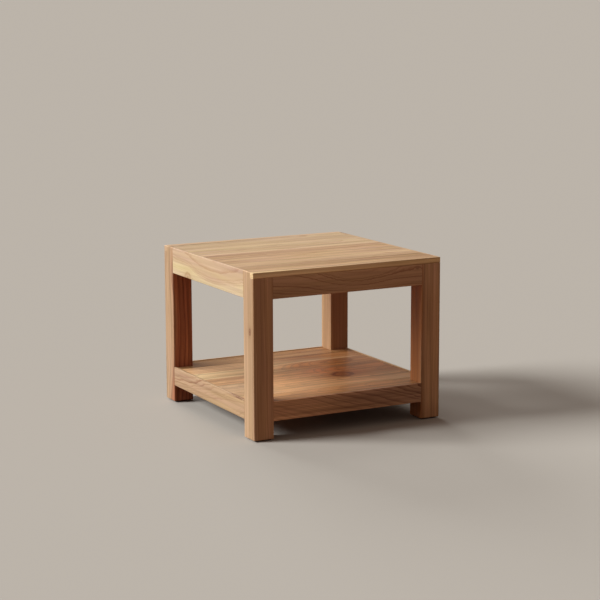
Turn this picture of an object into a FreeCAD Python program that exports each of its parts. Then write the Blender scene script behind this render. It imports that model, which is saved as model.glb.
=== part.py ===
# Square coffee table in solid wood: corner posts, flush aprons, a boarded top and a boarded lower shelf.
# The front is towards -Y, +Z is up, and the origin is on the floor under the middle of the table.
import FreeCAD
import Part
import Sketcher
import math
import os
import re

# Driving dimensions, in millimetres
SIZES = {
    # whole table
    "table_width": 570,
    "table_depth": 570,
    "table_height": 450,
    # corner posts and their glides
    "leg_size": 58,
    "foot_chamfer": 2,
    "arris_radius": 1.5,
    "glide_height": 3,
    "glide_size": 46,
    "glide_rim": 0.8,
    # boarded top
    "top_thickness": 16,
    "edge_strip_width": 18,
    "shadow_gap_height": 1.5,
    "shadow_gap_depth": 3,
    "side_lip": 6,
    "plank_end_gap": 0.2,
    # tongues and grooves between boards
    "tongue_thickness": 4.4,
    "tongue_length": 5,
    "tongue_end_gap": 0.5,
    "tongue_clearance": 0.1,
    "plank_ease": 0.4,
    # aprons
    "apron_height": 57,
    "apron_thickness": 20,
    # shelf and its rails
    "shelf_top_height": 104,
    "shelf_thickness": 14,
    "shelf_recess": 1.5,
    "shelf_rail_height": 53,
    "shelf_rail_thickness": 20,
    "shelf_lip": 7,
    "shelf_gap": 0.6,
    # mortise and tenon joints
    "tenon_thickness": 9,
    "tenon_shoulder": 8,
    "tenon_end_wall": 21,
    "tenon_end_gap": 1.5,
    "tenon_clearance": 0.1,
    "haunch_height": 14,
    "haunch_length": 10,
    # cross bearers under the boards
    "bearer_width": 45,
    "bearer_height": 22,
    "bearer_housing": 6,
    # buttons that hold the top down
    "button_length": 34,
    "button_width": 26,
    "button_height": 20,
    "button_tongue_length": 7,
    "button_tongue_height": 8,
    "button_gap": 1,
    "button_play": 0.3,
    "button_screw_inset": 20,
    # countersunk wood screws
    "screw_diameter": 4,
    "screw_head_diameter": 8,
    "screw_head_height": 3,
    "screw_bite": 8,
    "screw_clearance": 0.1,
}

# Boards across the top and across the shelf, and screws up through each bearer
TOP_PLANKS = 7
SHELF_PLANKS = 7
BEARER_SCREWS = 3
BUTTONED_PLANKS = (1, TOP_PLANKS - 2)

# Corners of the table: name, direction inwards along X, direction inwards along Y
CORNERS = [
    ("front_left", 1, 1),
    ("front_right", -1, 1),
    ("back_left", 1, -1),
    ("back_right", -1, -1),
]

# Heights and lengths that several pieces share
APRON_TOP = "(table_height - top_thickness)"
APRON_BOTTOM = "(table_height - top_thickness - apron_height)"
RAIL_BOTTOM = "(shelf_top_height - shelf_rail_height)"
SHELF_SEAT = "(shelf_top_height - shelf_recess - shelf_thickness)"
TENON_LENGTH = "(leg_size - tenon_end_wall)"
APRON_TENON_INSET = "(apron_thickness - tenon_thickness) / 2"
RAIL_TENON_INSET = "(shelf_rail_thickness - tenon_thickness) / 2"
TOP_PITCH = f"((table_depth - 2 * edge_strip_width) / {TOP_PLANKS})"
SHELF_PITCH = f"((table_depth - 2 * shelf_lip - 2 * shelf_gap) / {SHELF_PLANKS})"
TOP_PLANK_HALF = "(table_width / 2 - side_lip - plank_end_gap)"
SHELF_PLANK_HALF = "(table_width / 2 - shelf_lip - shelf_gap)"
BUTTON_GROOVE_TOP = f"({APRON_TOP} - button_height + button_tongue_height)"
BUTTON_GROOVE_BOTTOM = f"({APRON_TOP} - button_height - button_play)"
BUTTON_GROOVE_DEPTH = "(button_tongue_length + button_gap)"

START_RADIUS = 10
EDGE_TOLERANCE = 1e-4

document = FreeCAD.newDocument("CoffeeTable")
sheet = document.addObject("Spreadsheet::Sheet", "Sizes")
for row, (alias, number) in enumerate(SIZES.items(), start=1):
    sheet.set(f"A{row}", alias)
    sheet.set(f"B{row}", str(number))
    sheet.setAlias(f"B{row}", alias)
document.recompute()


def formula(text):
    # Points every size named in the text at its cell of the sheet.
    return re.sub(r"[a-z_]+", lambda word: "Sizes." + word[0] if word[0] in SIZES else word[0], text)


def bind(item, name, text):
    item.setExpression(name, formula(text))


def place(item, x="0", y="0", z="0", turn=0):
    item.Placement.Rotation = FreeCAD.Rotation(FreeCAD.Vector(0, 0, 1), turn)
    for axis, text in zip("xyz", (x, y, z)):
        bind(item, f"Placement.Base.{axis}", text)


def new_body(label):
    body = document.addObject("PartDesign::Body", label)
    body.Label = label
    return body


def origin_feature(body, role):
    return next(item for item in body.Origin.OriginFeatures if item.Role == role)


def new_sketch(body, plane, offset="0"):
    sketch = body.newObject("Sketcher::SketchObject", f"{body.Label}_sketch")
    sketch.AttachmentSupport = [(origin_feature(body, plane), "")]
    sketch.MapMode = "FlatFace"
    bind(sketch, "AttachmentOffset.Base.z", offset)
    return sketch


def fix_point(sketch, geometry, point, x, y):
    # Ties one point of the sketch to two sizes measured from the sketch's origin.
    place_now = sketch.getPoint(geometry, point)
    for kind, now, text in (("DistanceX", place_now.x, x), ("DistanceY", place_now.y, y)):
        index = sketch.addConstraint(Sketcher.Constraint(kind, -1, 1, geometry, point, now))
        name = f"{kind}_{geometry}_{point}"
        sketch.renameConstraint(index, name)
        bind(sketch, f"Constraints.{name}", text)


def draw_outline(sketch, points):
    # A closed outline of straight lines through the points, each point tied to the sheet.
    first = sketch.GeometryCount
    count = len(points)
    angles = [2 * math.pi * number / count for number in range(count)]
    starts = [FreeCAD.Vector(START_RADIUS * math.cos(a), START_RADIUS * math.sin(a), 0) for a in angles]
    for number in range(count):
        sketch.addGeometry(Part.LineSegment(starts[number], starts[(number + 1) % count]))
    for number in range(count):
        following = first + (number + 1) % count
        sketch.addConstraint(Sketcher.Constraint("Coincident", first + number, 2, following, 1))
    for number, (x, y) in enumerate(points):
        fix_point(sketch, first + number, 1, x, y)


def rectangle(low_x, high_x, low_y, high_y):
    return [(low_x, low_y), (high_x, low_y), (high_x, high_y), (low_x, high_y)]


def draw_circle(sketch, x, y, diameter):
    start = Part.Circle(FreeCAD.Vector(1, 1, 0), FreeCAD.Vector(0, 0, 1), START_RADIUS)
    circle = sketch.addGeometry(start)
    fix_point(sketch, circle, 3, x, y)
    index = sketch.addConstraint(Sketcher.Constraint("Diameter", circle, 2 * START_RADIUS))
    name = f"Diameter_{circle}"
    sketch.renameConstraint(index, name)
    bind(sketch, f"Constraints.{name}", diameter)


def pad(body, sketch, length, backwards=False):
    feature = body.newObject("PartDesign::Pad", f"{body.Label}_pad")
    feature.Profile = sketch
    feature.Reversed = backwards
    bind(feature, "Length", length)
    document.recompute()
    return feature


def pocket(body, sketch, length, backwards=False):
    before = body.Shape.Volume
    feature = body.newObject("PartDesign::Pocket", f"{body.Label}_pocket")
    feature.Profile = sketch
    feature.Reversed = backwards
    bind(feature, "Length", length)
    document.recompute()
    if feature.Shape.Volume >= before:
        raise RuntimeError(f"a pocket in {body.Label} cuts nothing")
    return feature


def layer(direction, start, end):
    # Low edge and depth of the stretch from start to end, counted inwards from the outer face.
    low = start if direction > 0 else f"-({end})"
    return low, f"({end}) - ({start})"


def cut_along_y(body, direction, start, end, points):
    low, depth = layer(direction, start, end)
    sketch = new_sketch(body, "XZ_Plane", f"-({low})")
    draw_outline(sketch, points)
    return pocket(body, sketch, depth)


def cut_along_x(body, direction, start, end, points):
    low, depth = layer(direction, start, end)
    sketch = new_sketch(body, "YZ_Plane", low)
    draw_outline(sketch, points)
    return pocket(body, sketch, depth, backwards=True)


def cut_down(body, top, depth, low_x, high_x, low_y, high_y):
    sketch = new_sketch(body, "XY_Plane", top)
    draw_outline(sketch, rectangle(low_x, high_x, low_y, high_y))
    return pocket(body, sketch, depth)


def turn_profile(body, profile, cutting=False):
    # Turns a profile about the upright axis of its own sketch, as a solid or as a cut.
    kind = "Groove" if cutting else "Revolution"
    feature = body.newObject(f"PartDesign::{kind}", f"{body.Label}_{kind.lower()}")
    feature.Profile = profile
    feature.ReferenceAxis = (profile, ["V_Axis"])
    feature.Angle = 360
    document.recompute()
    return feature


def edges_where(body, test):
    # Names of the body's edges whose two ends both pass the test, in the body's own frame.
    names = []
    for number, edge in enumerate(body.Tip.Shape.Edges, start=1):
        if len(edge.Vertexes) == 2 and all(test(vertex.Point) for vertex in edge.Vertexes):
            names.append(f"Edge{number}")
    return names


def dress(body, kind, size_name, size, names):
    base = body.Tip
    feature = body.newObject(f"PartDesign::{kind}", f"{body.Label}_{kind.lower()}")
    feature.Base = (base, names)
    bind(feature, size_name, size)
    document.recompute()
    return feature


def soften(body, names):
    return dress(body, "Fillet", "Radius", "arris_radius", names)


def near(first, second):
    return abs(first - second) < EDGE_TOLERANCE


# Posts

def haunched_mortise(inwards):
    # Outline of the slot for a haunched apron tenon, seen along the apron's thickness.
    back = f"{inwards} * (tenon_end_wall - tenon_end_gap)"
    haunch = f"{inwards} * (leg_size - haunch_length - tenon_end_gap)"
    mouth = f"{inwards} * leg_size"
    low = f"{APRON_BOTTOM} + tenon_shoulder - tenon_clearance"
    middle = f"{APRON_TOP} - haunch_height + tenon_clearance"
    high = APRON_TOP
    return [(mouth, low), (back, low), (back, middle), (haunch, middle), (haunch, high), (mouth, high)]


def rail_mortise(inwards):
    back = f"{inwards} * (tenon_end_wall - tenon_end_gap)"
    mouth = f"{inwards} * leg_size"
    low = f"{RAIL_BOTTOM} + tenon_shoulder - tenon_clearance"
    return rectangle(mouth, back, low, f"{SHELF_SEAT} + tenon_clearance")


def mortise_layer(inset):
    return f"{inset} - tenon_clearance", f"{inset} + tenon_thickness + tenon_clearance"


def make_leg(label, inwards_x, inwards_y):
    leg = new_body(label)
    far_x = f"{inwards_x} * leg_size"
    far_y = f"{inwards_y} * leg_size"
    section = new_sketch(leg, "XY_Plane", "glide_height")
    draw_outline(section, rectangle("0", far_x, "0", far_y))
    pad(leg, section, "table_height - glide_height")

    # The top of the post is cut away for the boards and the edge strip, which leaves a lip at the side.
    cut_down(leg, "table_height", "top_thickness", f"{inwards_x} * side_lip", far_x, "0", far_y)
    cut_down(leg, "table_height", "top_thickness", "0", far_x, "0", f"{inwards_y} * edge_strip_width")

    for inset, outline in ((APRON_TENON_INSET, haunched_mortise), (RAIL_TENON_INSET, rail_mortise)):
        start, end = mortise_layer(inset)
        cut_along_y(leg, inwards_y, start, end, outline(inwards_x))
        cut_along_x(leg, inwards_x, start, end, outline(inwards_y))

    size = sheet.leg_size
    foot = sheet.glide_height
    seat = sheet.table_height - sheet.top_thickness
    sides = (0, size)

    def on_foot_rim(point):
        at_side = any(near(abs(point.x), side) or near(abs(point.y), side) for side in sides)
        return near(point.z, foot) and at_side

    dress(leg, "Chamfer", "Size", "foot_chamfer", edges_where(leg, on_foot_rim))

    arrises = []
    for side_x in sides:
        for side_y in sides:
            corner_x = inwards_x * side_x
            corner_y = inwards_y * side_y
            arrises += edges_where(leg, lambda p: near(p.x, corner_x) and near(p.y, corner_y))
    arrises += edges_where(leg, lambda p: near(p.y, 0) and near(p.z, seat))
    arrises += edges_where(leg, lambda p: near(p.x, 0) and near(p.z, sheet.table_height))
    soften(leg, arrises)
    place(leg, f"{-inwards_x} * table_width / 2", f"{-inwards_y} * table_depth / 2")
    return leg


def make_glide(label, inwards_x, inwards_y):
    # A square pad stuck under the foot, its lower rim taken off.
    glide = new_body(label)
    section = new_sketch(glide, "XY_Plane")
    half = "glide_size / 2"
    draw_outline(section, rectangle(f"-{half}", half, f"-{half}", half))
    pad(glide, section, "glide_height")
    dress(glide, "Chamfer", "Size", "glide_rim", edges_where(glide, lambda p: near(p.z, 0)))
    centre_x = f"{-inwards_x} * (table_width - leg_size) / 2"
    centre_y = f"{-inwards_y} * (table_depth - leg_size) / 2"
    place(glide, centre_x, centre_y)
    return glide


# Aprons and shelf rails

def haunched_tenon(side, half):
    root = f"{side} * {half}"
    tip = f"{side} * ({half} + {TENON_LENGTH})"
    haunch = f"{side} * ({half} + haunch_length)"
    low = f"{APRON_BOTTOM} + tenon_shoulder"
    middle = f"{APRON_TOP} - haunch_height"
    high = APRON_TOP
    return [(root, low), (tip, low), (tip, middle), (haunch, middle), (haunch, high), (root, high)]


def rail_tenon(side, half):
    root = f"{side} * {half}"
    tip = f"{side} * ({half} + {TENON_LENGTH})"
    return rectangle(root, tip, f"{RAIL_BOTTOM} + tenon_shoulder", SHELF_SEAT)


def make_board_on_edge(label, runs, inwards, low, high, thickness, tenon):
    # A board standing on edge between two posts, with a tenon at each end.
    board = new_body(label)
    along_x = runs == "x"
    span = "table_width" if along_x else "table_depth"
    half = f"({span} / 2 - leg_size)"
    section = new_sketch(board, "XY_Plane", low)
    reach = f"{inwards} * {thickness}"
    if along_x:
        draw_outline(section, rectangle(f"-{half}", half, "0", reach))
    else:
        draw_outline(section, rectangle("0", reach, f"-{half}", half))
    pad(board, section, f"{high} - {low}")

    inset = f"({thickness} - tenon_thickness) / 2"
    start, depth = layer(inwards, inset, f"{inset} + tenon_thickness")
    plane = "XZ_Plane" if along_x else "YZ_Plane"
    tenons = new_sketch(board, plane, f"-({start})" if along_x else start)
    for side in (-1, 1):
        draw_outline(tenons, tenon(side, half))
    pad(board, tenons, depth, backwards=along_x)
    if along_x:
        place(board, y=f"{-inwards} * table_depth / 2")
    else:
        place(board, x=f"{-inwards} * table_width / 2")
    return board, half


def cut_inside(board, runs, inwards, start, end, points):
    cut = cut_along_y if runs == "x" else cut_along_x
    return cut(board, inwards, start, end, points)


def soften_long_edges(board, runs, inwards, heights_outside, heights_inside, thickness):
    names = []
    for offset, heights in ((0, heights_outside), (inwards * thickness, heights_inside)):
        for level in heights:
            if runs == "x":
                names += edges_where(board, lambda p: near(p.y, offset) and near(p.z, level))
            else:
                names += edges_where(board, lambda p: near(p.x, offset) and near(p.z, level))
    soften(board, names)


def make_apron(label, runs, inwards):
    high = APRON_TOP if runs == "x" else "table_height"
    apron, half = make_board_on_edge(
        label, runs, inwards, APRON_BOTTOM, high, "apron_thickness", haunched_tenon)
    bottom = sheet.table_height - sheet.top_thickness - sheet.apron_height
    if runs == "x":
        # The bearer under the top is let into the front and back aprons.
        reach = "(bearer_width / 2 + tenon_clearance)"
        housing = rectangle(f"-{reach}", reach, f"{APRON_TOP} - bearer_height", APRON_TOP)
        cut_inside(apron, runs, inwards, "apron_thickness - bearer_housing", "apron_thickness", housing)
        outside = (bottom, sheet.table_height - sheet.top_thickness)
    else:
        # The ends of the boards lie in a rebate behind the side apron's lip.
        rebate = rectangle(f"-{half}", half, APRON_TOP, "table_height")
        cut_inside(apron, runs, inwards, "side_lip", "apron_thickness", rebate)
        groove = rectangle(f"-{half}", half, BUTTON_GROOVE_BOTTOM, BUTTON_GROOVE_TOP)
        groove_floor = f"apron_thickness - {BUTTON_GROOVE_DEPTH}"
        cut_inside(apron, runs, inwards, groove_floor, "apron_thickness", groove)
        outside = (bottom, sheet.table_height)
    soften_long_edges(apron, runs, inwards, outside, (bottom,), sheet.apron_thickness)
    return apron


def make_shelf_rail(label, runs, inwards):
    rail, half = make_board_on_edge(
        label, runs, inwards, RAIL_BOTTOM, "shelf_top_height", "shelf_rail_thickness", rail_tenon)
    rebate = rectangle(f"-{half}", half, SHELF_SEAT, "shelf_top_height")
    cut_inside(rail, runs, inwards, "shelf_lip", "shelf_rail_thickness", rebate)
    if runs == "x":
        reach = "(bearer_width / 2 + tenon_clearance)"
        housing = rectangle(f"-{reach}", reach, f"{SHELF_SEAT} - bearer_height", SHELF_SEAT)
        start = "shelf_rail_thickness - bearer_housing"
        cut_inside(rail, runs, inwards, start, "shelf_rail_thickness", housing)
    bottom = sheet.shelf_top_height - sheet.shelf_rail_height
    outside = (bottom, sheet.shelf_top_height)
    soften_long_edges(rail, runs, inwards, outside, (bottom,), sheet.shelf_rail_thickness)
    return rail


# Boards

def screwed_planks(count):
    # Numbers of the boards that the bearer's screws go into, spread evenly from first to last.
    return [round(number * (count - 1) / (BEARER_SCREWS - 1)) for number in range(BEARER_SCREWS)]


def plank_middle(number, pitch, count):
    # Distance of a board's middle from the middle of the table.
    return f"{number - (count - 1) / 2} * {pitch}"


def pilot_holes(plank, underside, places):
    sketch = new_sketch(plank, "XY_Plane", underside)
    for x, y in places:
        draw_circle(sketch, x, y, "screw_diameter + 2 * screw_clearance")
    pocket(plank, sketch, "screw_bite + screw_clearance", backwards=True)


def tongue_zone(low, thickness, growth="0"):
    # Lower and upper height of a tongue in the middle of a board, or of its groove.
    middle = f"({low} + {thickness} / 2)"
    half = f"(tongue_thickness / 2 + {growth})"
    return f"({middle} - {half})", f"({middle} + {half})"


def plank_profile(low, thickness, pitch, tongue, groove):
    # Cross-section of a board: tongue at the front edge, groove at the back edge, upper edges eased.
    high = f"({low} + {thickness})"
    shoulder = f"({high} - plank_ease)"
    points = [("0", low)]
    if tongue:
        under, over = tongue_zone(low, thickness)
        points += [("0", under), ("-tongue_length", under), ("-tongue_length", over), ("0", over)]
    points += [("0", shoulder), ("plank_ease", high), (f"{pitch} - plank_ease", high), (pitch, shoulder)]
    if groove:
        under, over = tongue_zone(low, thickness, "tongue_clearance")
        floor = f"{pitch} - tongue_length - tongue_end_gap"
        points += [(pitch, over), (floor, over), (floor, under), (pitch, under)]
    points.append((pitch, low))
    return points


def pad_along_x(body, half, points):
    sketch = new_sketch(body, "YZ_Plane", f"-{half}")
    draw_outline(sketch, points)
    return pad(body, sketch, f"2 * {half}")


def make_top_plank(number):
    plank = new_body(f"top_plank_{number + 1}")
    profile = plank_profile(APRON_TOP, "top_thickness", TOP_PITCH, tongue=True, groove=True)
    pad_along_x(plank, TOP_PLANK_HALF, profile)

    holes = []
    if number in screwed_planks(TOP_PLANKS):
        holes.append(("0", f"{TOP_PITCH} / 2"))
    if number in BUTTONED_PLANKS:
        reach = "(table_width / 2 - apron_thickness - button_screw_inset)"
        holes += [(f"{side} * {reach}", f"{TOP_PITCH} / 2") for side in (-1, 1)]
    if holes:
        pilot_holes(plank, APRON_TOP, holes)
    place(plank, y=f"edge_strip_width - table_depth / 2 + {number} * {TOP_PITCH}")
    return plank


def make_edge_strip(label, inwards):
    # The strip runs the full width along the front or back edge, over the posts and the apron.
    strip = new_body(label)
    inner = f"{inwards} * edge_strip_width"
    pad_along_x(strip, "(table_width / 2)", rectangle("0", inner, APRON_TOP, "table_height"))

    # A narrow rebate under its outer edge leaves a shadow line above the post and the apron.
    gap_back = f"{inwards} * shadow_gap_depth"
    shadow_gap = rectangle("0", gap_back, APRON_TOP, f"{APRON_TOP} + shadow_gap_height")
    cut_along_x(strip, 1, "-table_width / 2", "table_width / 2", shadow_gap)

    # The front strip has a groove for the first board, the back strip a tongue for the last.
    if inwards > 0:
        under, over = tongue_zone(APRON_TOP, "top_thickness", "tongue_clearance")
        floor = f"{inner} - tongue_length - tongue_end_gap"
        cut_along_x(strip, 1, f"-{TOP_PLANK_HALF}", TOP_PLANK_HALF, rectangle(floor, inner, under, over))
    else:
        under, over = tongue_zone(APRON_TOP, "top_thickness")
        pad_along_x(strip, TOP_PLANK_HALF, rectangle(inner, f"{inner} - tongue_length", under, over))
    end = sheet.table_width / 2
    top = sheet.table_height
    names = edges_where(strip, lambda p: near(p.y, 0))
    for side in (-1, 1):
        names += edges_where(strip, lambda p: near(p.x, side * end) and near(p.z, top))
    soften(strip, names)
    place(strip, y=f"{-inwards} * table_depth / 2")
    return strip


def make_shelf_plank(number):
    plank = new_body(f"shelf_plank_{number + 1}")
    last = SHELF_PLANKS - 1
    profile = plank_profile(SHELF_SEAT, "shelf_thickness", SHELF_PITCH, number > 0, number < last)
    pad_along_x(plank, SHELF_PLANK_HALF, profile)

    # Boards beside a post are cut round it.
    notch = "shelf_recess + shelf_thickness"
    notch_reach = sheet.leg_size - sheet.shelf_lip
    pitch = (sheet.table_depth - 2 * sheet.shelf_lip - 2 * sheet.shelf_gap) / SHELF_PLANKS
    inner = "(table_width / 2 - leg_size - shelf_gap)"
    outer = "table_width / 2"
    for end_number, from_front in ((number, True), (last - number, False)):
        if end_number * pitch >= notch_reach:
            continue
        reach = f"(leg_size - shelf_lip - {end_number} * {SHELF_PITCH})"
        low = f"-{end_number} * {SHELF_PITCH} - tongue_length"
        high = reach
        if not from_front:
            low = f"{SHELF_PITCH} - {reach}"
            high = f"{SHELF_PITCH} + {end_number} * {SHELF_PITCH}"
        for side in (-1, 1):
            ends = (f"{side} * {inner}", f"{side} * {outer}")
            cut_down(plank, "shelf_top_height", notch, ends[0], ends[1], low, high)
    if number in screwed_planks(SHELF_PLANKS):
        pilot_holes(plank, SHELF_SEAT, [("0", f"{SHELF_PITCH} / 2")])
    place(plank, y=f"shelf_lip + shelf_gap - table_depth / 2 + {number} * {SHELF_PITCH}")
    return plank


# Bearers, buttons and screws

def draw_screw(sketch, length, growth):
    # Half profile of a countersunk screw, head down, widened by a clearance for its hole.
    wide = f"screw_head_diameter / 2 + {growth}"
    narrow = f"screw_diameter / 2 + {growth}"
    neck = "screw_head_height"
    draw_outline(sketch, [("0", "0"), (wide, "0"), (narrow, neck), (narrow, length), ("0", length)])


def make_screw(label, grip):
    screw = new_body(label)
    profile = new_sketch(screw, "XZ_Plane")
    draw_screw(profile, f"({grip} + screw_bite)", "0")
    turn_profile(screw, profile)
    return screw


def countersunk_hole(body, x, y, low, grip):
    # A hole for a countersunk screw that enters from below at the given height.
    profile = new_sketch(body, "XZ_Plane", f"-({y})")
    bind(profile, "AttachmentOffset.Base.x", x)
    bind(profile, "AttachmentOffset.Base.y", low)
    draw_screw(profile, grip, "screw_clearance")
    before = body.Shape.Volume
    feature = turn_profile(body, profile, cutting=True)
    if feature.Shape.Volume >= before:
        raise RuntimeError(f"a screw hole in {body.Label} cuts nothing")
    return feature


def make_bearer(label, top, board_thickness, pitch, count):
    # A flat bar from front to back, let into the apron or rail at each end and screwed up into the boards.
    bearer = new_body(label)
    low = f"({top} - bearer_height)"
    reach = f"(table_depth / 2 - {board_thickness} + bearer_housing)"
    section = new_sketch(bearer, "XY_Plane", low)
    draw_outline(section, rectangle("-bearer_width / 2", "bearer_width / 2", f"-{reach}", reach))
    pad(bearer, section, "bearer_height")
    hole = countersunk_hole(bearer, "0", plank_middle(0, pitch, count), low, "bearer_height")
    row_of_holes = bearer.newObject("PartDesign::LinearPattern", f"{label}_holes")
    row_of_holes.Originals = [hole]
    row_of_holes.Direction = (origin_feature(bearer, "Y_Axis"), [""])
    row_of_holes.Occurrences = BEARER_SCREWS
    bind(row_of_holes, "Length", f"{pitch} * {count - 1}")
    bearer.Tip = row_of_holes
    document.recompute()
    return bearer


def make_button():
    # A block whose tongue sits in the apron's groove. Local +X points away from the apron.
    button = new_body("button")
    step = "(button_tongue_height - button_height)"
    sketch = new_sketch(button, "XZ_Plane", "button_width / 2")
    draw_outline(sketch, [
        ("-button_tongue_length", "-button_height"),
        ("button_length", "-button_height"),
        ("button_length", "0"),
        ("button_gap", "0"),
        ("button_gap", step),
        ("-button_tongue_length", step),
    ])
    pad(button, sketch, "button_width", backwards=True)
    countersunk_hole(button, "button_screw_inset", "0", "-button_height", "button_height")
    return button


def make_group(label, source, places):
    # Equal loose pieces, kept together as one group of separate solids.
    copies = []
    for x, y, z, turn in places:
        copy = document.addObject("App::Link", f"{label}_copy")
        copy.LinkedObject = source
        place(copy, x, y, z, turn)
        copies.append(copy)
    group = document.addObject("Part::Compound", label)
    group.Label = label
    group.Links = copies
    return group


def button_places(inset, z):
    # Places beside the side aprons, each turned to face its apron.
    reach = f"(table_width / 2 - apron_thickness - {inset})"
    places = []
    for number in BUTTONED_PLANKS:
        along = plank_middle(number, TOP_PITCH, TOP_PLANKS)
        places.append((f"-{reach}", along, z, 0))
        places.append((reach, along, z, 180))
    return places


def bearer_screw_places(pitch, count, z):
    return [("0", plank_middle(number, pitch, count), z, 0) for number in screwed_planks(count)]


# The whole table
pieces = []
for corner, to_x, to_y in CORNERS:
    pieces.append(make_leg(f"leg_{corner}", to_x, to_y))
    pieces.append(make_glide(f"glide_{corner}", to_x, to_y))
for side_name, direction in (("front", 1), ("back", -1)):
    pieces.append(make_apron(f"apron_{side_name}", "x", direction))
    pieces.append(make_shelf_rail(f"shelf_rail_{side_name}", "x", direction))
    pieces.append(make_edge_strip(f"edge_strip_{side_name}", direction))
for side_name, direction in (("left", 1), ("right", -1)):
    pieces.append(make_apron(f"apron_{side_name}", "y", direction))
    pieces.append(make_shelf_rail(f"shelf_rail_{side_name}", "y", direction))
for board_number in range(TOP_PLANKS):
    pieces.append(make_top_plank(board_number))
for board_number in range(SHELF_PLANKS):
    pieces.append(make_shelf_plank(board_number))
pieces.append(make_bearer("top_bearer", APRON_TOP, "apron_thickness", TOP_PITCH, TOP_PLANKS))
pieces.append(make_bearer("shelf_bearer", SHELF_SEAT, "shelf_rail_thickness", SHELF_PITCH, SHELF_PLANKS))

button_source = make_button()
button_screw = make_screw("button_screw", "button_height")
bearer_screw = make_screw("bearer_screw", "bearer_height")
button_foot = f"{APRON_TOP} - button_height"
top_bearer_foot = f"{APRON_TOP} - bearer_height"
shelf_bearer_foot = f"{SHELF_SEAT} - bearer_height"
screw_places = button_places("button_screw_inset", button_foot)
pieces.append(make_group("top_buttons", button_source, button_places("0", APRON_TOP)))
pieces.append(make_group("button_screws", button_screw, screw_places))
pieces.append(make_group(
    "top_bearer_screws", bearer_screw, bearer_screw_places(TOP_PITCH, TOP_PLANKS, top_bearer_foot)))
pieces.append(make_group(
    "shelf_bearer_screws", bearer_screw, bearer_screw_places(SHELF_PITCH, SHELF_PLANKS, shelf_bearer_foot)))
document.recompute()

# Every object has to be sound before anything is written
for item in document.Objects:
    if "Invalid" in item.State or "Error" in item.State:
        raise RuntimeError(f"{item.Label} failed: {item.State}")
for piece in pieces:
    if piece.Shape.isNull() or not piece.Shape.isValid():
        raise RuntimeError(f"{piece.Label} has no valid solid")

os.makedirs("parts", exist_ok=True)
for piece in pieces:
    piece.Shape.exportStep(f"parts/{piece.Label}.step")
    print(f"{piece.Label}: {len(piece.Shape.Solids)} solid(s), {piece.Shape.Volume / 1000:.1f} cm3")
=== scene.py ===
import math
import bpy
from mathutils import Matrix, Vector


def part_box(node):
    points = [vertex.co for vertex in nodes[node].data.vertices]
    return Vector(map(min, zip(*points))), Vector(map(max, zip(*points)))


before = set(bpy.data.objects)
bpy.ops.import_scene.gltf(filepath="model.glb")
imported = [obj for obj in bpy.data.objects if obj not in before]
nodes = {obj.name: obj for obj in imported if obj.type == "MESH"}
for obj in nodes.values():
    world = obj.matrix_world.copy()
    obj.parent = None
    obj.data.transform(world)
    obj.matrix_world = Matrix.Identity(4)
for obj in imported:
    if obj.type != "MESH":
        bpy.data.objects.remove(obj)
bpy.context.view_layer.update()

mmPerMetre = 1000.0
print("frame loaded:", len(nodes), "pieces")


# wiring helpers

def paint(red, green, blue):
    # display colour, 0 to 255 a channel, as the linear colour that shaders take
    def straight(part):
        part /= 255
        return part / 12.92 if part <= 0.04045 else ((part + 0.055) / 1.055) ** 2.4
    return (straight(red), straight(green), straight(blue), 1.0)


def plug(tree, source, socket):
    # a socket is wired up, anything else is typed in
    if isinstance(source, bpy.types.NodeSocket):
        tree.links.new(source, socket)
    else:
        socket.default_value = source


def calc(tree, operation, *values, clamp=False):
    node = tree.nodes.new("ShaderNodeMath")
    node.operation = operation
    node.use_clamp = clamp
    for value, socket in zip(values, node.inputs):
        plug(tree, value, socket)
    return node.outputs[0]


def plus(tree, first, second):
    return calc(tree, "ADD", first, second)


def minus(tree, first, second):
    return calc(tree, "SUBTRACT", first, second)


def times(tree, first, second):
    return calc(tree, "MULTIPLY", first, second)


def timesPlus(tree, first, second, added):
    return calc(tree, "MULTIPLY_ADD", first, second, added)


def vector(tree, operation, *values):
    node = tree.nodes.new("ShaderNodeVectorMath")
    node.operation = operation
    for value, socket in zip(values, node.inputs):
        plug(tree, value, socket)
    return node.outputs["Value" if operation in ("LENGTH", "DOT_PRODUCT") else "Vector"]


def scaled(tree, source, factor):
    node = tree.nodes.new("ShaderNodeVectorMath")
    node.operation = "SCALE"
    plug(tree, source, node.inputs[0])
    plug(tree, factor, node.inputs["Scale"])
    return node.outputs["Vector"]


def joined(tree, x, y, z):
    node = tree.nodes.new("ShaderNodeCombineXYZ")
    for value, socket in zip((x, y, z), node.inputs):
        plug(tree, value, socket)
    return node.outputs[0]


def parted(tree, source):
    node = tree.nodes.new("ShaderNodeSeparateXYZ")
    plug(tree, source, node.inputs[0])
    return node.outputs


def ranged(tree, value, low, high, toLow=0.0, toHigh=1.0):
    # smooth step between two levels
    node = tree.nodes.new("ShaderNodeMapRange")
    node.interpolation_type = "SMOOTHSTEP"
    sources = {"Value": value, "From Min": low, "From Max": high, "To Min": toLow, "To Max": toHigh}
    for name, source in sources.items():
        plug(tree, source, node.inputs[name])
    return node.outputs["Result"]


noiseSpread = 3.0   # brings noise to about -1 to 1


def cloud(tree, point, detail=2.0, roughness=0.5):
    # soft noise around zero
    node = tree.nodes.new("ShaderNodeTexNoise")
    plug(tree, point, node.inputs["Vector"])
    node.inputs["Scale"].default_value = 1.0
    node.inputs["Detail"].default_value = detail
    node.inputs["Roughness"].default_value = roughness
    return timesPlus(tree, node.outputs["Fac"], noiseSpread, -noiseSpread / 2)


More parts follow.
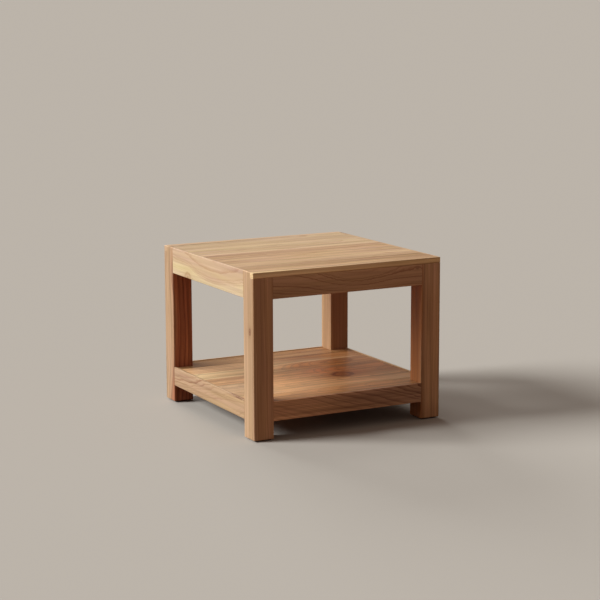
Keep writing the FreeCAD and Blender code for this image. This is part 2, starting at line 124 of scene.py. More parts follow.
def drift(tree, place, detail=1.0):
    # noise along one line, as three values around zero
    node = tree.nodes.new("ShaderNodeTexNoise")
    node.noise_dimensions = "1D"
    plug(tree, place, node.inputs["W"])
    node.inputs["Scale"].default_value = 1.0
    node.inputs["Detail"].default_value = detail
    centred = vector(tree, "SUBTRACT", node.outputs["Color"], (0.5, 0.5, 0.5))
    return parted(tree, scaled(tree, centred, noiseSpread))


def curve(tree, value, stops):
    node = tree.nodes.new("ShaderNodeValToRGB")
    ramp = node.color_ramp
    while len(ramp.elements) < len(stops):
        ramp.elements.new(0.5)
    for element, (position, level) in zip(ramp.elements, stops):
        element.position = position
        element.color = (level, level, level, 1.0)
    plug(tree, value, node.inputs[0])
    return node.outputs[0]


def mixed(tree, amount, first, second, kind="MIX"):
    node = tree.nodes.new("ShaderNodeMix")
    node.data_type = "RGBA"
    node.blend_type = kind
    plug(tree, amount, node.inputs["Factor"])
    plug(tree, first, node.inputs[6])   # the colour inputs of the mix node
    plug(tree, second, node.inputs[7])
    return node.outputs[2]


def newGroup(name, takes, gives):
    tree = bpy.data.node_groups.new(name, "ShaderNodeTree")
    for way, sockets in (("INPUT", takes), ("OUTPUT", gives)):
        for kind, labels in sockets.items():
            for label in labels:
                tree.interface.new_socket(name=label, in_out=way, socket_type="NodeSocket" + kind)
    return tree, tree.nodes.new("NodeGroupInput").outputs, tree.nodes.new("NodeGroupOutput").inputs


def useGroup(tree, group, **values):
    node = tree.nodes.new("ShaderNodeGroup")
    node.node_tree = group
    for label, value in values.items():
        plug(tree, value, node.inputs[label])
    return node.outputs


def newMaterial(name):
    material = bpy.data.materials.new(name)
    material.use_nodes = True
    return material, material.node_tree, material.node_tree.nodes["Principled BSDF"]


def objectPoint(tree):
    return tree.nodes.new("ShaderNodeTexCoord").outputs["Object"]


def roughen(tree, shader, height, look):
    bump = tree.nodes.new("ShaderNodeBump")
    bump.inputs["Strength"].default_value = look["bumpStrength"]
    bump.inputs["Distance"].default_value = look["bumpDepth"]
    plug(tree, height, bump.inputs["Height"])
    plug(tree, bump.outputs["Normal"], shader.inputs["Normal"])


def dress(name, material):
    nodes[name].data.materials.clear()
    nodes[name].data.materials.append(material)


# the figure of a board cut from a log: rings round a pith line, streaks, fibres, pores, pale sapwood

figureNumbers = (
    "seed", "wander", "wanderLength", "wobble", "ringWidth", "ringDepth", "streak", "smudge", "tint",
    "sapRadius", "sapBlend", "edgeShade", "satin",
)
figureColours = ("heart", "late", "sap", "knotColour")
grainNoise = {   # length and width in mm
    "wobble": {"length": 130.0, "width": 30.0, "detail": 3.0},
    "broad": {"length": 900.0, "width": 34.0},
    "streak": {"length": 340.0, "width": 8.0, "detail": 4.0, "roughness": 0.6},
    "hue": {"length": 190.0, "width": 15.0},
    "fibre": {"length": 48.0, "width": 0.8},
    "pore": {"length": 11.0, "width": 0.42, "detail": 1.0},
}
figureLook = {
    "noiseSeed": (37.1, 11.7, 23.3), "swaySeed": 7.31, "ringSeed": 3.7, "darkSeed": 11.0,
    "swayDetail": 2.0, "unevenPace": 0.31, "uneven": 0.9,   # rings of uneven width
    "acrossRing": ((0.0, 0.12), (0.4, 0.05), (0.78, 0.6), (0.93, 1.0), (1.0, 0.12)),   # place, darkness
    "ringLeast": 0.3, "ringVaries": 0.7,   # each ring has a darkness of its own
    "smudgeRange": (0.35, 1.0), "poreRange": (0.55, 0.95), "poreDark": 0.3,
    "sapRagged": 4.0, "sapRings": 0.4,
    "streakLevel": 0.75, "broadLevel": 0.6, "fibreLevel": 0.035,
    "greenPower": 1.15, "bluePower": 1.3, "hueGreen": 0.4,   # darker streaks are redder
    "edgeRagged": 0.8, "edgeRange": (0.6, 3.2),   # mm from the edge
    "roughStreak": 0.05, "roughRing": -0.08, "roughEdge": -0.06, "roughPore": 0.15,
    "highRing": 0.35, "highFibre": 0.3, "highPore": -0.9,
}


def grainScale(length, width):
    # noise squeezed to this scale comes out length by width in mm
    return (1 / length, 1 / width, 1 / width)


def makeFigure():
    tree, given, result = newGroup(
        "boardFigure",
        {"Vector": ("point", "smudgeScale"),
         "Float": ("pithAcross", "pithThrough", "leanAcross", "leanThrough",
                   "push", "knot", "edge", *figureNumbers),
         "Color": figureColours},
        {"Color": ("colour",), "Float": ("roughness", "height")})
    along, across, through = parted(tree, given["point"])[:3]
    seed = given["seed"]
    shift = scaled(tree, figureLook["noiseSeed"], seed)

    def squeezed(scale):
        return vector(tree, "ADD", vector(tree, "MULTIPLY", given["point"], scale), shift)

    def grain(name):
        noise = dict(grainNoise[name])
        scale = grainScale(noise.pop("length"), noise.pop("width"))
        return cloud(tree, squeezed(scale), **noise)

    # the pith line leans and wanders, and the rings round it wobble
    place = calc(tree, "DIVIDE", along, given["wanderLength"])
    swayPlace = timesPlus(tree, seed, figureLook["swaySeed"], place)
    sway = drift(tree, swayPlace, figureLook["swayDetail"])
    wobble = times(tree, grain("wobble"), given["wobble"])
    sides = []
    for side, way, swayed in ((across, "Across", sway[0]), (through, "Through", sway[1])):
        offset = minus(tree, side, given["pith" + way])
        offset = timesPlus(tree, along, given["lean" + way], offset)
        sides.append(timesPlus(tree, swayed, given["wander"], offset))
    radius = vector(tree, "LENGTH", joined(tree, sides[0], sides[1], 0.0))
    radius = plus(tree, plus(tree, radius, wobble), given["push"])

    # growth rings of uneven width, each with its own darkness
    ringPlace = calc(tree, "DIVIDE", radius, given["ringWidth"])
    ringSeed = times(tree, seed, figureLook["ringSeed"])
    unevenPlace = timesPlus(tree, ringPlace, figureLook["unevenPace"], ringSeed)
    ringCount = timesPlus(tree, drift(tree, unevenPlace)[0], figureLook["uneven"], ringPlace)
    late = curve(tree, calc(tree, "FRACT", ringCount), figureLook["acrossRing"])
    ownDark = tree.nodes.new("ShaderNodeTexWhiteNoise")
    ownDark.noise_dimensions = "1D"
    ringNumber = timesPlus(tree, seed, figureLook["darkSeed"], calc(tree, "FLOOR", ringCount))
    plug(tree, ringNumber, ownDark.inputs["W"])
    ringLevel = timesPlus(tree, ownDark.outputs["Value"], figureLook["ringVaries"], figureLook["ringLeast"])
    ringDark = times(tree, times(tree, late, ringLevel), given["ringDepth"])

    # streaks along the grain, coarse to fine
    broad, streak, fibre = grain("broad"), grain("streak"), grain("fibre")
    smudge = ranged(tree, cloud(tree, squeezed(given["smudgeScale"])), *figureLook["smudgeRange"])
    pore = ranged(tree, grain("pore"), *figureLook["poreRange"])

    # heartwood with latewood lines, and sapwood outside it
    colour = mixed(tree, ringDark, given["heart"], given["late"])
    sapSide = timesPlus(tree, streak, figureLook["sapRagged"], radius)
    sapInner = minus(tree, given["sapRadius"], given["sapBlend"])
    sapOuter = plus(tree, given["sapRadius"], given["sapBlend"])
    sapTone = mixed(tree, times(tree, ringDark, figureLook["sapRings"]), given["sap"], given["late"])
    colour = mixed(tree, ranged(tree, sapSide, sapInner, sapOuter), colour, sapTone)

    # streaks lighten and darken it
    level = timesPlus(tree, streak, figureLook["streakLevel"], times(tree, broad, figureLook["broadLevel"]))
    level = times(tree, level, given["streak"])
    level = plus(tree, level, timesPlus(tree, fibre, figureLook["fibreLevel"], 1.0))
    hue = times(tree, grain("hue"), given["tint"])
    green = calc(tree, "POWER", level, figureLook["greenPower"])
    green = times(tree, green, timesPlus(tree, hue, figureLook["hueGreen"], 1.0))
    blue = calc(tree, "POWER", level, figureLook["bluePower"])
    blue = times(tree, blue, minus(tree, 1.0, hue))
    colour = mixed(tree, 1.0, colour, joined(tree, level, green, blue), "MULTIPLY")

    # smudges, knots and pores
    colour = mixed(tree, times(tree, smudge, given["smudge"]), colour, given["late"])
    colour = mixed(tree, given["knot"], colour, given["knotColour"])
    colour = mixed(tree, times(tree, pore, figureLook["poreDark"]), colour, given["late"])

    # edges paler above 1 and darker below it: dark joints on most boards, painted highlights and painted
    # shade along a few posts' and rails' arrises
    edge = timesPlus(tree, streak, figureLook["edgeRagged"], given["edge"])
    near = ranged(tree, edge, *figureLook["edgeRange"], 1.0, 0.0)
    shade = timesPlus(tree, near, minus(tree, given["edgeShade"], 1.0), 1.0)
    colour = mixed(tree, 1.0, colour, joined(tree, shade, shade, shade), "MULTIPLY")

    rough = timesPlus(tree, ringDark, figureLook["roughRing"], given["satin"])
    rough = timesPlus(tree, streak, figureLook["roughStreak"], rough)
    rough = timesPlus(tree, near, figureLook["roughEdge"], rough)
    rough = calc(tree, "MULTIPLY_ADD", pore, figureLook["roughPore"], rough, clamp=True)
    height = timesPlus(tree, ringDark, figureLook["highRing"], times(tree, fibre, figureLook["highFibre"]))
    height = timesPlus(tree, pore, figureLook["highPore"], height)
    plug(tree, colour, result["colour"])
    plug(tree, rough, result["roughness"])
    plug(tree, height, result["height"])
    return tree


# a knot: a branch that ran out through the face, with the rings bent round it

knotLook = {   # dark 0 leaves only the bent rings
    "stretch": 1.6, "depth": 40.0, "bulge": 6.0, "dark": 0.8, "rim": 0.45, "core": 0.8,
}
knotForm = {   # places in shares of the knot's size
    "outlineSeed": (5.3, 9.1, 2.7), "outlineScale": 0.11, "outlineRagged": 0.16,
    "deepFrom": 0.5, "swellFall": -0.2, "haloDark": 0.25,
    "core": (0.1, 0.5), "body": (0.8, 1.15), "rimFall": -25.0,
    "years": 20.0, "yearDepth": 0.13, "yearDark": 0.23,
}


def makeKnot():
    tree, given, result = newGroup(
        "boardKnot",
        {"Vector": ("point", "centre", "facing"), "Float": ("seed", "size", *knotLook)},
        {"Float": ("push", "knot")})
    away = vector(tree, "SUBTRACT", given["point"], given["centre"])
    deep = vector(tree, "DOT_PRODUCT", away, given["facing"])
    parts = parted(tree, vector(tree, "SUBTRACT", away, scaled(tree, given["facing"], deep)))
    flat = joined(tree, calc(tree, "DIVIDE", parts[0], given["stretch"]), parts[1], parts[2])

    # distance from the middle in shares of the size, with an uneven outline
    shift = scaled(tree, knotForm["outlineSeed"], given["seed"])
    ragged = cloud(tree, vector(tree, "ADD", scaled(tree, given["point"], knotForm["outlineScale"]), shift))
    reach = calc(tree, "DIVIDE", vector(tree, "LENGTH", flat), given["size"])
    reach = timesPlus(tree, ragged, knotForm["outlineRagged"], reach)
    deepFrom = times(tree, given["depth"], knotForm["deepFrom"])
    inside = ranged(tree, calc(tree, "ABSOLUTE", deep), deepFrom, given["depth"], 1.0, 0.0)

    swell = calc(tree, "EXPONENT", times(tree, times(tree, reach, reach), knotForm["swellFall"]))
    push = times(tree, times(tree, swell, given["bulge"]), inside)
    core = ranged(tree, reach, *knotForm["core"], given["core"], 0.0)
    body = ranged(tree, reach, *knotForm["body"], 1.0, 0.0)
    past = minus(tree, reach, 1.0)
    rim = calc(tree, "EXPONENT", times(tree, times(tree, past, past), knotForm["rimFall"]))
    year = calc(tree, "SINE", times(tree, reach, knotForm["years"]))
    year = timesPlus(tree, year, knotForm["yearDepth"], knotForm["yearDark"])
    knot = calc(tree, "MAXIMUM", core, times(tree, body, year))
    knot = timesPlus(tree, rim, given["rim"], timesPlus(tree, swell, knotForm["haloDark"], knot))
    knot = calc(tree, "MULTIPLY", times(tree, knot, given["dark"]), inside, clamp=True)
    plug(tree, push, result["push"])
    plug(tree, knot, result["knot"])
    return tree


figure = makeFigure()
knotShape = makeKnot()
grainOrder = {"x": (0, 1, 2), "y": (1, 0, 2), "z": (2, 0, 1)}   # along, across, through

boardLook = {   # lengths in mm
    "grain": "x", "seed": 1.0, "pith": (20.0, -60.0), "lean": (0.0, 0.02),   # pith across and through
    "wander": 6.0, "wanderLength": 260.0, "wobble": 3.0, "ringWidth": 7.0, "ringDepth": 0.6,
    "streak": 0.22, "smudge": 0.3, "smudgeSize": (150.0, 9.0), "tint": 0.06,
    "sapRadius": 400.0, "sapBlend": 9.0,   # where the pale outer wood begins, and how softly
    "heart": (203, 165, 124), "late": (158, 112, 76), "sap": (226, 196, 150), "knotColour": (112, 62, 36),
    "edgeShade": 1.06, "satin": 0.5, "sheen": 0.2,
    "bumpStrength": 0.35, "bumpDepth": 0.0004,   # depth in metres
    "knots": (), "lightShadeAndToneFades": (),   # fades of painted light and shade, and of tone, run along the grain from the piece's middle
}


def boardMaterial(name, look):
    look = {**boardLook, **look}
    low, high = (Vector(corner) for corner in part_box(name))
    middle, half = (low + high) / 2, (high - low) / 2
    material, tree, shader = newMaterial(name + "Wood")

    # board coordinates in mm from the middle of the piece: along, across and through the grain
    local = scaled(tree, vector(tree, "SUBTRACT", objectPoint(tree), middle), mmPerMetre)
    parts = parted(tree, local)
    order = grainOrder[look["grain"]]
    point = joined(tree, *[parts[axis] for axis in order])

    # distance from the nearest edge of the piece's box: the middle one of its three wall distances
    walls = [minus(tree, half[axis] * mmPerMetre, calc(tree, "ABSOLUTE", parts[axis])) for axis in range(3)]
    lesser = calc(tree, "MINIMUM", walls[0], walls[1])
    greater = calc(tree, "MAXIMUM", walls[0], walls[1])
    edge = calc(tree, "MAXIMUM", lesser, calc(tree, "MINIMUM", greater, walls[2]))

    push, knot = 0.0, 0.0
    for number, spot in enumerate(look["knots"]):
        spot = {**knotLook, **spot}
        centre = Vector(spot["at"]) - middle * mmPerMetre
        made = useGroup(
            tree, knotShape, point=point, seed=look["seed"] + number, size=spot["size"],
            centre=[centre[axis] for axis in order], facing=[spot["facing"][axis] for axis in order],
            **{key: spot[key] for key in knotLook})
        push = made["push"] if number == 0 else plus(tree, push, made["push"])
        knot = made["knot"] if number == 0 else calc(tree, "MAXIMUM", knot, made["knot"])

    made = useGroup(
        tree, figure, point=point, push=push, knot=knot, edge=edge,
        smudgeScale=grainScale(*look["smudgeSize"]),
        pithAcross=look["pith"][0], pithThrough=look["pith"][1],
        leanAcross=look["lean"][0], leanThrough=look["lean"][1],
        **{key: look[key] for key in figureNumbers}, **{key: paint(*look[key]) for key in figureColours})
    colour = made["colour"]
    for end in look["lightShadeAndToneFades"]:   # fades toward a board's ends: mostly painted light and shade, on some boards a change of tone
        fadeAmount = ranged(tree, parts[order[0]], end["start"], end["stop"])
        colour = mixed(tree, fadeAmount, colour, (*end["tone"], 1.0), "MULTIPLY")
    plug(tree, colour, shader.inputs["Base Color"])
    plug(tree, made["roughness"], shader.inputs["Roughness"])
    shader.inputs["Specular IOR Level"].default_value = look["sheen"]
    roughen(tree, shader, made["height"], look)
    return material


def dressBoards(boards, wood):
    for name, look in boards.items():
        dress(name, boardMaterial(name, {**wood, **look}))


# posts, grain upright
legWood = {
    "grain": "z", "ringWidth": 8.5, "ringDepth": 0.7, "streak": 0.38, "smudge": 0.45, "sapRadius": 92.0,
    "heart": (192, 148, 112), "sap": (198, 163, 127),
}
legs = {
    "leg_front_left": {
        # edgeShade 1.22 is a painted highlight along this post's arrises
        "seed": 3.1, "pith": (62.0, -58.0), "lean": (0.02, 0.01), "ringWidth": 9.0, "edgeShade": 1.22,
        "knots": ({
            "at": (-285, -264, 292), "facing": (1, 0, 0), "size": 5.0, "depth": 20.0, "bulge": 4.0,
            "dark": 1.0,
        },),
    },
    "leg_front_right": {
        # edgeShade 0.7 paints shade along this post's arrises
        "seed": 7.7, "pith": (60.0, -56.0), "lean": (0.01, 0.03), "streak": 0.66, "edgeShade": 0.7,
        "heart": (186, 143, 105), "sap": (168, 105, 57),
        # painted shade on the foot, darker toward the floor; the upper end is made lighter
        "lightShadeAndToneFades": (
            {"start": 100.0, "stop": 190.0, "tone": (1.12, 1.18, 1.27)},
            {"start": -160.0, "stop": -215.0, "tone": (0.9, 0.84, 0.8)},
        ),
    },
    "leg_back_left": {
        # the dark red heart lies on the front face, which is in shade: wood tone, partly painted shade
        "seed": 12.4, "pith": (60.0, -52.0), "lean": (-0.01, 0.02), "ringWidth": 11.0, "ringDepth": 1.1,
        "streak": 0.5, "heart": (178, 111, 80), "late": (104, 54, 36),
    },
    "leg_back_right": {
        "seed": 15.9, "pith": (58.0, -60.0), "lean": (0.02, -0.01),
        "heart": (160, 116, 87), "sap": (190, 149, 111),
    },
}
dressBoards(legs, legWood)
print("posts done")

# aprons under the top
apronWood = {"ringWidth": 7.0}
aprons = {
    "apron_left": {
        "grain": "y", "seed": 21.3, "pith": (45.0, 62.0), "lean": (0.0, 0.0), "wander": 4.0,
        "ringWidth": 8.0, "ringDepth": 0.7, "tint": 0.1, "sapRadius": 76.0, "edgeShade": 1.0,
        "heart": (210, 180, 147), "late": (178, 132, 98), "sap": (223, 200, 160),
        "knotColour": (158, 102, 62),
        "knots": ({
            "at": (-285, 125, 379), "facing": (1, 0, 0), "size": 14.0, "stretch": 1.3, "bulge": 14.0,
            "dark": 0.65,
        }, {
            "at": (-285, -40, 405), "facing": (1, 0, 0), "size": 42.0, "stretch": 2.0, "bulge": -24.0,
            "dark": 0.0,
        }),
    },
    "apron_front": {
        "grain": "x", "seed": 24.8, "pith": (40.0, 46.0), "lean": (0.03, 0.04), "wander": 4.0,
        "wanderLength": 400.0, "ringDepth": 1.0, "streak": 0.36,
        "heart": (190, 150, 114), "late": (144, 96, 64),
        "knots": (
            {"at": (212, -285, 425), "facing": (0, 1, 0), "size": 3.0, "depth": 15.0, "bulge": 3.0},
            {"at": (20, -285, 440), "facing": (0, 1, 0), "size": 32.0, "bulge": -26.0, "dark": 0.0},
        ),
    },
    "apron_right": {"grain": "y", "seed": 27.2, "pith": (-40.0, 30.0), "lean": (0.05, 0.03)},
    "apron_back": {
        "grain": "x", "seed": 29.6, "pith": (-36.0, -20.0), "lean": (0.08, 0.02), "ringWidth": 7.5,
    },
}
dressBoards(aprons, apronWood)
print("aprons done")

# shelf rails
railWood = {"ringWidth": 7.0}
rails = {
    "shelf_rail_left": {
        "grain": "y", "seed": 33.5, "pith": (40.0, 70.0), "lean": (0.02, 0.14), "wobble": 9.0,
        "ringWidth": 8.0, "ringDepth": 1.0, "streak": 0.34, "tint": 0.1,
        "sapRadius": 80.0, "sapBlend": 14.0, "edgeShade": 0.9,
        "heart": (199, 165, 133), "late": (148, 98, 66), "sap": (193, 160, 124),
        "knots": ({
            "at": (-282, -190, 104), "facing": (0, 0, 1), "size": 3.0, "stretch": 14.0, "depth": 6.0,
            "dark": 0.9,
        },),
    },
    "shelf_rail_front": {
        "grain": "x", "seed": 36.1, "pith": (48.0, 110.0), "lean": (0.03, 0.3), "wobble": 5.0,
        "ringWidth": 9.0, "ringDepth": 1.3, "streak": 0.66,
        # edgeShade 1.25 is a painted highlight along the rail's edges
        "sapRadius": 124.0, "sapBlend": 45.0, "edgeShade": 1.25,
        "heart": (180, 139, 108), "late": (116, 72, 46), "sap": (209, 159, 119),
    },
    "shelf_rail_right": {"grain": "y", "seed": 38.4, "pith": (-50.0, 12.0), "ringWidth": 7.5},
    "shelf_rail_back": {"grain": "x", "seed": 41.7, "pith": (-44.0, 24.0)},
}
dressBoards(rails, railWood)
print("shelf rails done")

# paler strips along the front and back edges of the top
stripWood = {
    "grain": "x", "wander": 1.5, "wobble": 1.0, "ringWidth": 5.0, "ringDepth": 0.4, "sapBlend": 2.0,
    "edgeShade": 1.0, "heart": (188, 154, 119), "late": (172, 131, 96), "sap": (239, 207, 159),
}
strips = {
    "edge_strip_front": {
        "seed": 45.2, "pith": (30.0, 60.0), "sapRadius": 64.0, "streak": 0.5, "smudge": 0.6,
        # the strip darkens towards its right end
        "lightShadeAndToneFades": ({"start": 0.0, "stop": 180.0, "tone": (0.88, 0.85, 0.78)},),
    },
    "edge_strip_back": {"seed": 48.9, "pith": (-30.0, 60.0), "heart": (206, 173, 138)},
}
dressBoards(strips, stripWood)
print("edge strips done")

# boards of the top, numbered from the front
topWood = {
    "grain": "x", "wander": 9.0, "ringWidth": 8.0, "streak": 0.6, "smudge": 0.85, "smudgeSize": (120.0, 20.0),
    "tint": 0.14, "edgeShade": 0.93,
}
topKnot = {"facing": (0, 0, 1), "size": 4.0, "stretch": 3.0, "bulge": 3.0, "dark": 0.5}
topBoards = {
    "top_plank_1": {
        "seed": 51.3, "pith": (12.0, -90.0), "lean": (0.0, -0.12), "sapRadius": 92.0, "sapBlend": 30.0,
        "heart": (171, 135, 98), "sap": (185, 150, 114),
    },
    "top_plank_2": {"seed": 54.8, "pith": (-40.0, -52.0), "heart": (199, 166, 130)},
    "top_plank_3": {"seed": 57.1, "pith": (20.0, -48.0), "heart": (187, 153, 118)},
    "top_plank_4": {"seed": 60.6, "pith": (-8.0, -40.0), "heart": (189, 153, 119)},
    "top_plank_5": {
        "seed": 63.2, "pith": (44.0, -58.0), "heart": (198, 168, 133),
        "knots": ({"at": (5, 54, 450), **topKnot}, {"at": (-133, 94, 450), **topKnot}),
    },
    "top_plank_6": {"seed": 66.7, "pith": (-22.0, -50.0), "heart": (198, 170, 134)},
    "top_plank_7": {"seed": 69.4, "pith": (30.0, -46.0), "heart": (200, 172, 137)},
}
dressBoards(topBoards, topWood)
print("top boards done")

# boards of the shelf, numbered from the front
shelfWood = {
    "grain": "x", "lean": (0.0, -0.12), "wander": 7.0, "ringWidth": 7.0, "ringDepth": 0.75, "streak": 0.64,
    "smudge": 0.65, "smudgeSize": (160.0, 16.0), "sapRadius": 84.0, "sapBlend": 32.0, "edgeShade": 0.8,
    "late": (152, 98, 60), "knotColour": (120, 64, 42), "satin": 0.34, "sheen": 0.05,
}
shelfBoards = {
    # the fades on the shelf boards are painted light and shade across the shelf
    "shelf_plank_1": {
        "seed": 73.1, "pith": (10.0, -90.0), "sap": (231, 172, 118), "heart": (186, 127, 73),
        "lightShadeAndToneFades": (
            {"start": -60.0, "stop": -160.0, "tone": (0.86, 0.88, 0.88)},
            {"start": 120.0, "stop": 230.0, "tone": (0.9, 1.0, 1.0)},
        ),
    },
    "shelf_plank_2": {
        "seed": 76.5, "pith": (34.0, -94.0), "sap": (242, 189, 135), "heart": (206, 132, 86),
        "lightShadeAndToneFades": (
            {"start": -120.0, "stop": -230.0, "tone": (0.74, 0.84, 0.98)},
            {"start": 120.0, "stop": 230.0, "tone": (0.85, 1.0, 1.05)},
        ),
    },
    "shelf_plank_3": {
        "seed": 79.8, "pith": (16.0, -88.0), "sapRadius": 88.0, "sapBlend": 28.0,
        "sap": (242, 186, 132), "heart": (190, 115, 67),
        "lightShadeAndToneFades": (
            {"start": -120.0, "stop": -230.0, "tone": (0.68, 0.8, 0.98)},
            {"start": 140.0, "stop": 230.0, "tone": (0.9, 1.1, 1.3)},
        ),
        "knots": ({
            "at": (98, -76, 102), "facing": (0, 0, 1), "size": 25.0, "stretch": 1.15, "bulge": -10.0,
            "dark": 0.95, "rim": 0.65, "core": 0.2,
        },),
    },
    "shelf_plank_4": {
        "seed": 82.2, "pith": (-12.0, -92.0), "sapRadius": 100.0, "sapBlend": 20.0,
        "sap": (216, 165, 116), "heart": (223, 130, 74),
        "lightShadeAndToneFades": (
            {"start": -80.0, "stop": -160.0, "tone": (0.85, 0.87, 0.93)},
            {"start": 40.0, "stop": 190.0, "tone": (0.63, 0.85, 1.12)},
        ),
    },
    "shelf_plank_5": {
        "seed": 85.6, "pith": (0.0, -90.0), "sapRadius": 108.0, "sapBlend": 20.0,
        "sap": (233, 201, 153), "heart": (206, 137, 80),
        "lightShadeAndToneFades": (
            {"start": -120.0, "stop": -230.0, "tone": (1.04, 1.05, 1.05)},
            {"start": 120.0, "stop": 230.0, "tone": (0.76, 0.85, 1.12)},
        ),
        "knots": ({
            "at": (165, 84, 102), "facing": (0, 0, 1), "size": 22.0, "stretch": 2.2, "bulge": -16.0,
            "dark": 0.85, "rim": 0.4, "core": 0.45,
        },),
    },
    "shelf_plank_6": {
        "seed": 88.3, "pith": (30.0, -94.0), "sapRadius": 106.0, "sapBlend": 20.0,
        "sap": (218, 175, 130), "heart": (147, 90, 48),
        "lightShadeAndToneFades": (
            {"start": -120.0, "stop": -230.0, "tone": (1.06, 1.06, 1.06)},
            {"start": 40.0, "stop": 220.0, "tone": (1.38, 1.66, 2.0)},
        ),
    },
    "shelf_plank_7": {
        "seed": 91.9, "pith": (20.0, -90.0), "sapRadius": 100.0, "sapBlend": 20.0,
        "sap": (186, 145, 103), "heart": (169, 122, 81),
        # painted shadow of the back-left post on the left end
        "lightShadeAndToneFades": ({"start": -50.0, "stop": -140.0, "tone": (0.74, 0.7, 0.66)},),
    },
}
dressBoards(shelfBoards, shelfWood)
print("shelf boards done")

# hidden bearers and buttons
hiddenWood = {"heart": (196, 154, 112)}
hiddenPieces = {
    "top_bearer": {"grain": "y", "seed": 95.4, "pith": (30.0, 40.0)},
    "shelf_bearer": {"grain": "y", "seed": 97.8, "pith": (-26.0, 44.0)},
    "top_buttons": {"grain": "x", "seed": 99.3, "pith": (10.0, 30.0)},
}
dressBoards(hiddenPieces, hiddenWood)
print("bearers and buttons done")


# screws and glides

screwSteel = {
    "colour": (150, 148, 142), "tarnish": (96, 90, 80), "patchesPerMetre": 900.0, "patchDetail": 3.0,
    "patchRange": (-0.5, 0.9), "roughness": 0.38, "patchRoughness": 0.2,
}
glideNylon = {
    "colour": (40, 34, 29), "fleck": (66, 58, 50), "patchesPerMetre": 1600.0, "patchDetail": 2.0,
    "patchRange": (0.2, 1.0), "roughness": 0.72, "patchRoughness": -0.12,
    "bumpStrength": 0.3, "bumpDepth": 0.0003,   # depth in metres
}


def patches(tree, shader, look, second):
    # a second colour in patches, with a roughness of its own
    noise = cloud(tree, scaled(tree, objectPoint(tree), look["patchesPerMetre"]), look["patchDetail"])
    patch = ranged(tree, noise, *look["patchRange"])
    colour = mixed(tree, patch, paint(*look["colour"]), paint(*second))
    plug(tree, colour, shader.inputs["Base Color"])
    plug(tree, timesPlus(tree, patch, look["patchRoughness"], look["roughness"]), shader.inputs["Roughness"])
    return patch


def steelMaterial():
    material, tree, shader = newMaterial("screwSteel")
    patches(tree, shader, screwSteel, screwSteel["tarnish"])
    shader.inputs["Metallic"].default_value = 1.0
    return material


def nylonMaterial():
    material, tree, shader = newMaterial("glidePad")
    fleck = patches(tree, shader, glideNylon, glideNylon["fleck"])
    roughen(tree, shader, fleck, glideNylon)
    return material


steel, pad = steelMaterial(), nylonMaterial()
for screws in ("button_screws", "top_bearer_screws", "shelf_bearer_screws"):
    dress(screws, steel)
for corner in ("front_left", "front_right", "back_left", "back_right"):
    dress("glide_" + corner, pad)
print("screws and glides done")


# floor, light and camera

studio = {
    "floorSize": 600.0, "floorColour": (171, 167, 160), "floorBounce": (110, 80, 61), "floorRoughness": 0.85,
    "floorSheen": 0.0, "backdrop": (184, 175, 165), "fillStrength": 0.23, "fillColour": (1.0, 0.75, 0.62),
}
dayLight, spillLight = (0.95, 0.98, 0.97), (0.99, 0.99, 0.98)
lamps = {   # bearing from the left towards the back, height and softness in degrees
    "window": {
        "lights": "table", "bearing": 24.0, "height": 36.0, "softness": 60.0,
        "strength": 2.86, "colour": dayLight,
    },
    "farWindow": {
        "lights": "table", "bearing": 60.0, "height": 25.0, "softness": 50.0,
        "strength": 1.4, "colour": dayLight,
    },
    "ceiling": {
        "lights": "table", "bearing": 90.0, "height": 80.0, "softness": 40.0,
        "strength": 0.43, "colour": dayLight,
    },
    "windowSpill": {
        "lights": "floor", "bearing": 20.5, "height": 30.0, "softness": 25.5,
        "strength": 4.95, "colour": spillLight,
    },
    "farSpill": {
        "lights": "floor", "bearing": 91.6, "height": 20.0, "softness": 29.6,
        "strength": 2.05, "colour": spillLight,
    },
}


def shownRay(tree):
    # rays that see the room itself: from the camera, off gloss, through glass
    path = tree.nodes.new("ShaderNodeLightPath").outputs
    straight = calc(tree, "MAXIMUM", path["Is Camera Ray"], path["Is Transmission Ray"])
    return calc(tree, "MAXIMUM", straight, path["Is Glossy Ray"])


def makeFloor():
    half = studio["floorSize"] / 2
    corners = [(-half, -half, 0), (half, -half, 0), (half, half, 0), (-half, half, 0)]
    mesh = bpy.data.meshes.new("floor")
    mesh.from_pydata(corners, [], [(0, 1, 2, 3)])
    floor = bpy.data.objects.new("floor", mesh)
    bpy.context.scene.collection.objects.link(floor)
    material, tree, shader = newMaterial("floorPaint")
    colour = mixed(tree, shownRay(tree), paint(*studio["floorBounce"]), paint(*studio["floorColour"]))
    plug(tree, colour, shader.inputs["Base Color"])
    shader.inputs["Roughness"].default_value = studio["floorRoughness"]
    shader.inputs["Specular IOR Level"].default_value = studio["floorSheen"]
    mesh.materials.append(material)
    return floor


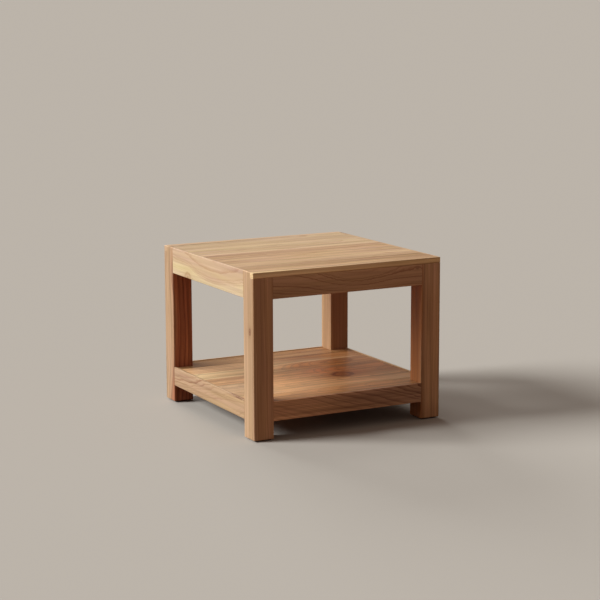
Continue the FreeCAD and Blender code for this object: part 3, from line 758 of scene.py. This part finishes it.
def makeLamps(floor):
    receivers = {"table": list(nodes.values()), "floor": [floor]}
    for name, lamp in lamps.items():
        light = bpy.data.lights.new(name, "SUN")
        light.energy = lamp["strength"]
        light.angle = math.radians(lamp["softness"])
        light.color = lamp["colour"]
        turn, height = math.radians(lamp["bearing"]), math.radians(lamp["height"])
        left, back = math.cos(turn) * math.cos(height), math.sin(turn) * math.cos(height)
        source = Vector((-left, back, math.sin(height)))
        sun = bpy.data.objects.new(name, light)
        sun.rotation_euler = source.to_track_quat("Z", "Y").to_euler()
        bpy.context.scene.collection.objects.link(sun)
        lit = bpy.data.collections.new(name + "Lights")
        for thing in receivers[lamp["lights"]]:
            lit.objects.link(thing)
        sun.light_linking.receiver_collection = lit


def makeRoom():
    # soft fill for the table, with a plain backdrop where the room itself is seen
    world = bpy.data.worlds.new("room")
    world.use_nodes = True
    tree = world.node_tree
    fill = tree.nodes["Background"]
    fill.inputs["Color"].default_value = (*studio["fillColour"], 1.0)
    fill.inputs["Strength"].default_value = studio["fillStrength"]
    seen = tree.nodes.new("ShaderNodeBackground")
    seen.inputs["Color"].default_value = paint(*studio["backdrop"])
    choose = tree.nodes.new("ShaderNodeMixShader")
    plug(tree, shownRay(tree), choose.inputs[0])
    plug(tree, fill.outputs[0], choose.inputs[1])
    plug(tree, seen.outputs[0], choose.inputs[2])
    plug(tree, choose.outputs[0], tree.nodes["World Output"].inputs["Surface"])
    bpy.context.scene.world = world


view = {   # place in metres, turns in degrees, yaw from straight ahead to the right
    "place": (-2.2661, -4.2919, 1.1847), "yaw": 27.86, "pitch": 10.21, "roll": 0.19,
    "lens": 105.5, "sensor": 36.0, "farthest": 200.0,
}


def makeCamera():
    yaw, pitch, roll = (math.radians(view[key]) for key in ("yaw", "pitch", "roll"))
    ahead = Vector((math.sin(yaw) * math.cos(pitch), math.cos(yaw) * math.cos(pitch), -math.sin(pitch)))
    right = ahead.cross(Vector((0, 0, 1))).normalized()
    down = ahead.cross(right)
    turnedRight = math.cos(roll) * right + math.sin(roll) * down
    turnedDown = math.cos(roll) * down - math.sin(roll) * right
    turned = Matrix((turnedRight, -turnedDown, -ahead)).transposed()
    camera = bpy.data.objects.new("camera", bpy.data.cameras.new("camera"))
    camera.matrix_world = Matrix.Translation(view["place"]) @ turned.to_4x4()
    camera.data.lens = view["lens"]
    camera.data.sensor_width = view["sensor"]
    camera.data.clip_end = view["farthest"]
    bpy.context.scene.collection.objects.link(camera)
    bpy.context.scene.camera = camera


makeLamps(makeFloor())
makeRoom()
makeCamera()
bpy.context.scene.view_settings.view_transform = "Standard"
print("floor, light and camera done")
